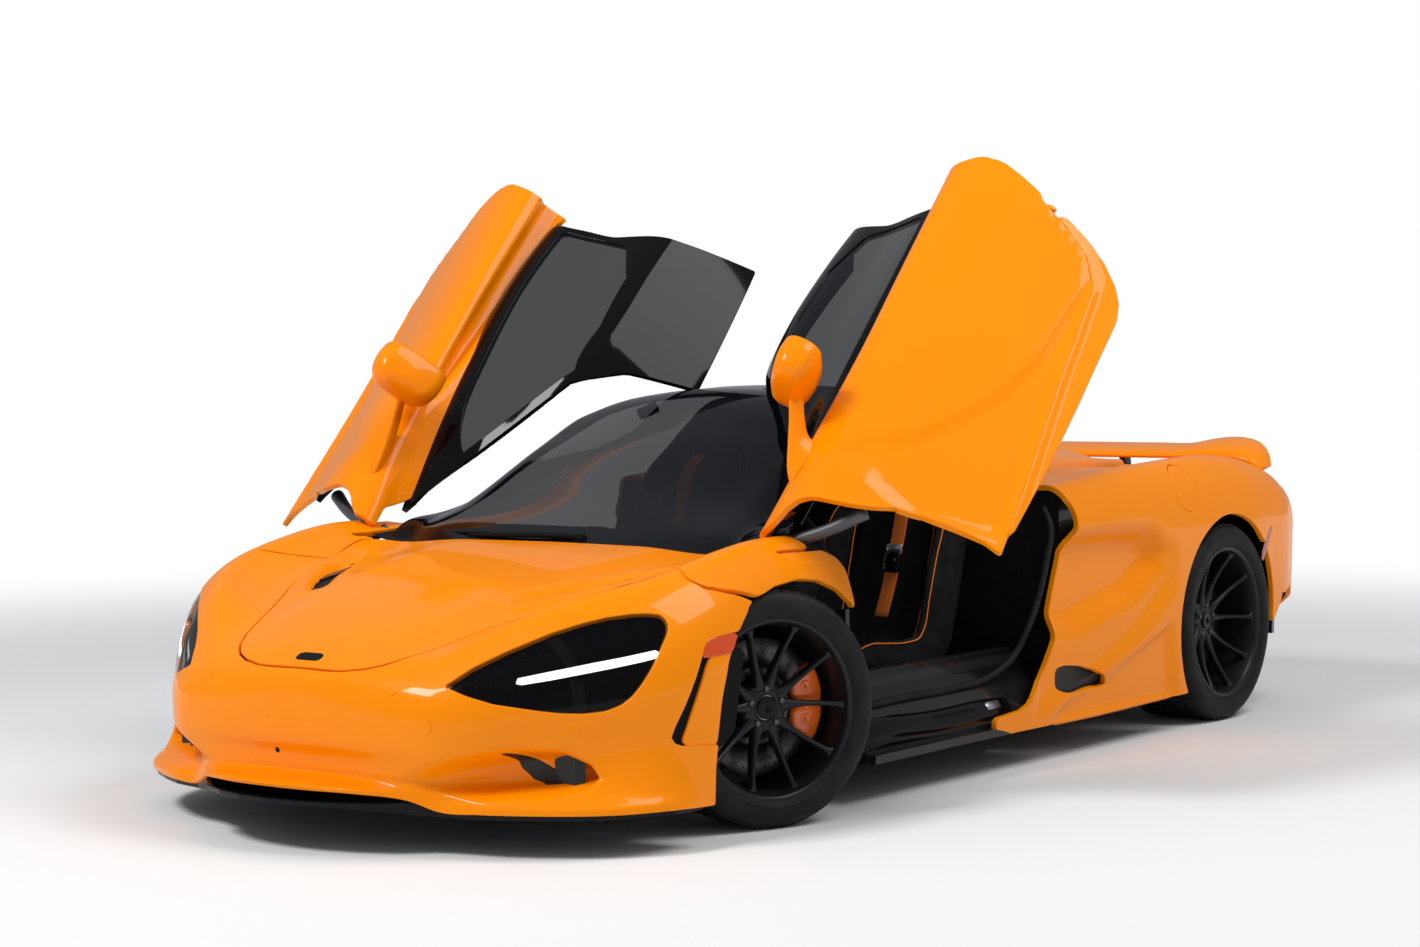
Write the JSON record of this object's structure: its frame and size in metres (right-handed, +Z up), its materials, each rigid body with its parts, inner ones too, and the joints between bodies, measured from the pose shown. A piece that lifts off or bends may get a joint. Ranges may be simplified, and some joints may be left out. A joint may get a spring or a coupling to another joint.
{
  "type": "mid-engine supercar with dihedral doors",
  "caption": "Low two-seat mid-engine supercar, doors raised, front wheels turned, with opening bonnet, rising rear wing and working steering.",
  "frame": {"origin": "on the ground at the middle of the car's length, on its centre plane", "axes": "+X to the car's left, +Y to the rear, +Z up; the nose points along -Y"},
  "size_m": [2.8952, 4.569, 1.9057],
  "materials": {
    "paint": "orange clear coat",
    "carbon": "black carbon fibre",
    "mesh_black": "black mesh",
    "lamp": "smoked lens over black lamp",
    "lamp_red": "red lens",
    "glass": "tinted glass",
    "gloss_black": "gloss black",
    "exhaust": "heat-toned steel",
    "trim_black": "soft black trim",
    "suede_black": "black suede and leather",
    "belt_orange": "orange webbing",
    "engine": "cast alloy",
    "alloy": "satin alloy",
    "caliper_orange": "orange enamel",
    "tyre": "black rubber",
    "rim_graphite": "satin graphite",
    "disc_steel": "drilled grey disc"
  },
  "bodies": {
    "root": {"tub": "carbon", "front_bumper": "paint", "front_splitter": "carbon", "front_grilles": "mesh_black", "front_wings": "paint", "headlamps": "lamp", "windscreen": "glass", "roof_frame": "gloss_black", "rear_canopy": "paint", "engine_cover": "glass", "rear_window": "glass", "engine_deck": "paint", "rear_quarters": "paint", "rear_bumper": "paint", "tail_grille": "mesh_black", "exhaust": "exhaust", "tail_lamps": "lamp_red", "diffuser": "carbon", "side_skirts": "carbon", "dashboard": "trim_black", "seats": "suede_black", "seat_belts": "belt_orange", "engine_block": "engine", "front_wishbones": "alloy", "rear_wishbones": "alloy", "rear_knuckles": "alloy", "rear_calipers": "caliper_orange"},
    "bonnet": {"bonnet": "paint"},
    "rear_wing": {"rear_wing": "paint"},
    "steering_wheel": {"steering_wheel": "trim_black"},
    "door_left": {"door_left": "paint", "door_glass_left": "glass", "mirror_left": "paint"},
    "knuckle_left": {"knuckle_front_left": "alloy", "brake_caliper_front_left": "caliper_orange"},
    "wheel_front_left": {"tyre_front_left": "tyre", "rim_front_left": "rim_graphite", "brake_disc_front_left": "disc_steel"},
    "wheel_rear_left": {"tyre_rear_left": "tyre", "rim_rear_left": "rim_graphite", "brake_disc_rear_left": "disc_steel"},
    "door_right": {"door_right": "paint", "door_glass_right": "glass", "mirror_right": "paint"},
    "knuckle_right": {"knuckle_front_right": "alloy", "brake_caliper_front_right": "caliper_orange"},
    "wheel_front_right": {"tyre_front_right": "tyre", "rim_front_right": "rim_graphite", "brake_disc_front_right": "disc_steel"},
    "wheel_rear_right": {"tyre_rear_right": "tyre", "rim_rear_right": "rim_graphite", "brake_disc_rear_right": "disc_steel"}
  },
  "joints": [
    {"name": "door_left", "type": "hinge", "parent": "root", "child": "door_left", "pos_m": [0.7588, -1.0197, 0.745], "axis": [-0.5415, 0.7464, 0.3868], "range_deg": [0, 72.2]},
    {"name": "door_right", "type": "hinge", "parent": "root", "child": "door_right", "pos_m": [-0.7588, -1.0197, 0.745], "axis": [-0.5415, -0.7464, -0.3868], "range_deg": [0, 72.2]},
    {"name": "bonnet", "type": "hinge", "parent": "root", "child": "bonnet", "pos_m": [0, -1.084, 0.7], "axis": [-1, 0, 0], "range_deg": [0, 50]},
    {"name": "rear_wing", "type": "slide", "parent": "root", "child": "rear_wing", "axis": [0, 0, 1], "range_m": [0, 0.06]},
    {"name": "steer_left", "type": "hinge", "parent": "root", "child": "knuckle_left", "pos_m": [0.768, -1.1895, 0.327], "axis": [0, 0, 1], "range_deg": [-11, 53]},
    {"name": "steer_right", "type": "hinge", "parent": "root", "child": "knuckle_right", "pos_m": [-0.768, -1.1895, 0.327], "axis": [0, 0, 1], "range_deg": [-11, 53]},
    {"name": "steering_wheel", "type": "hinge", "parent": "root", "child": "steering_wheel", "pos_m": [0.37, -0.455, 0.7], "axis": [0, -0.9135, -0.4067], "range_deg": [-742, 154]},
    {"name": "spin_front_left", "type": "hinge", "parent": "knuckle_left", "child": "wheel_front_left", "pos_m": [0.83522, -1.2153, 0.327], "axis": [0.9336, -0.3584, 0], "continuous": true},
    {"name": "spin_front_right", "type": "hinge", "parent": "knuckle_right", "child": "wheel_front_right", "pos_m": [-0.83522, -1.1637, 0.327], "axis": [0.9336, -0.3584, 0], "continuous": true},
    {"name": "spin_rear_left", "type": "hinge", "parent": "root", "child": "wheel_rear_left", "pos_m": [0.8145, 1.4805, 0.3455], "axis": [1, 0, 0], "continuous": true},
    {"name": "spin_rear_right", "type": "hinge", "parent": "root", "child": "wheel_rear_right", "pos_m": [-0.8145, 1.4805, 0.3455], "axis": [1, 0, 0], "continuous": true}
  ],
  "couplings": [
    {"joint": "steer_right", "follows": "steer_left", "ratio": 1},
    {"joint": "steering_wheel", "follows": "steer_left", "ratio": -14}
  ]
}
